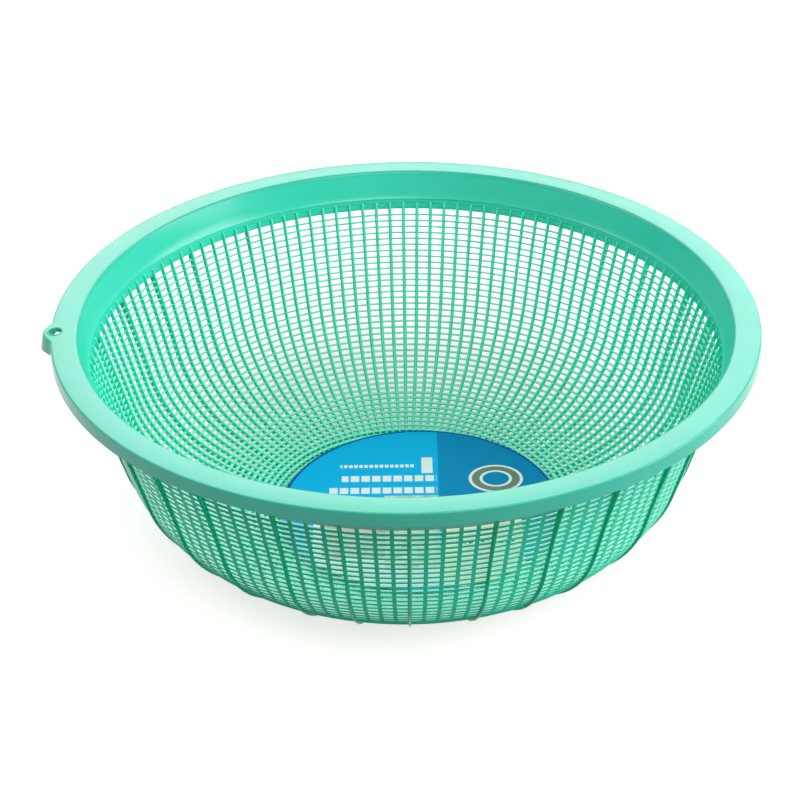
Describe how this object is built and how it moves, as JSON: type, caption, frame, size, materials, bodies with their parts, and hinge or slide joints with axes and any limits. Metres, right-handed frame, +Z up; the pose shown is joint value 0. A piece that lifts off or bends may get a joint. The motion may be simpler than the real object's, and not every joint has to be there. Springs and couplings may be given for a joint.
{
  "type": "round open-mesh colander basket",
  "caption": "Round shallow bowl-shaped basket with an open mesh wall, outer fins, a flat foot ring, a turned-down rim and a hanging eyelet, for washing and draining food.",
  "frame": {"origin": "on the basket's axis, in the plane that the foot ring rests on", "axes": "+Z up along the basket's axis, -Y towards the viewer of the picture, +X to the viewer's right, so the hanging eyelet is at -X"},
  "size_m": [0.3853, 0.38, 0.1366],
  "materials": {
    "rim_plastic": "semi-gloss moulded mint green",
    "eyelet_plastic": "semi-gloss moulded mint green",
    "rib_plastic": "semi-gloss moulded mint green",
    "base_plastic": "semi-gloss moulded mint green",
    "hoop_plastic": "semi-gloss moulded mint green",
    "fin_plastic": "semi-gloss moulded mint green",
    "foot_plastic": "semi-gloss moulded mint green",
    "label_paper": "printed film-faced card, two blues"
  },
  "bodies": {
    "root": {"rim_flange_and_skirt": "rim_plastic", "hanging_eyelet": "eyelet_plastic", "wall_rib_cage": "rib_plastic", "base_grid": "base_plastic", "hoop_01": "hoop_plastic", "hoop_02": "hoop_plastic", "hoop_03": "hoop_plastic", "hoop_04": "hoop_plastic", "hoop_05": "hoop_plastic", "hoop_06": "hoop_plastic", "hoop_07": "hoop_plastic", "hoop_08": "hoop_plastic", "hoop_09": "hoop_plastic", "hoop_10": "hoop_plastic", "hoop_11": "hoop_plastic", "hoop_12": "hoop_plastic", "hoop_13": "hoop_plastic", "hoop_14": "hoop_plastic", "hoop_15": "hoop_plastic", "hoop_16": "hoop_plastic", "hoop_17": "hoop_plastic", "hoop_18": "hoop_plastic", "hoop_19": "hoop_plastic", "hoop_20": "hoop_plastic", "hoop_21": "hoop_plastic", "hoop_22": "hoop_plastic", "hoop_23": "hoop_plastic", "hoop_24": "hoop_plastic", "fins": "fin_plastic", "foot_ring": "foot_plastic", "label_disc": "label_paper"}
  },
  "joints": []
}
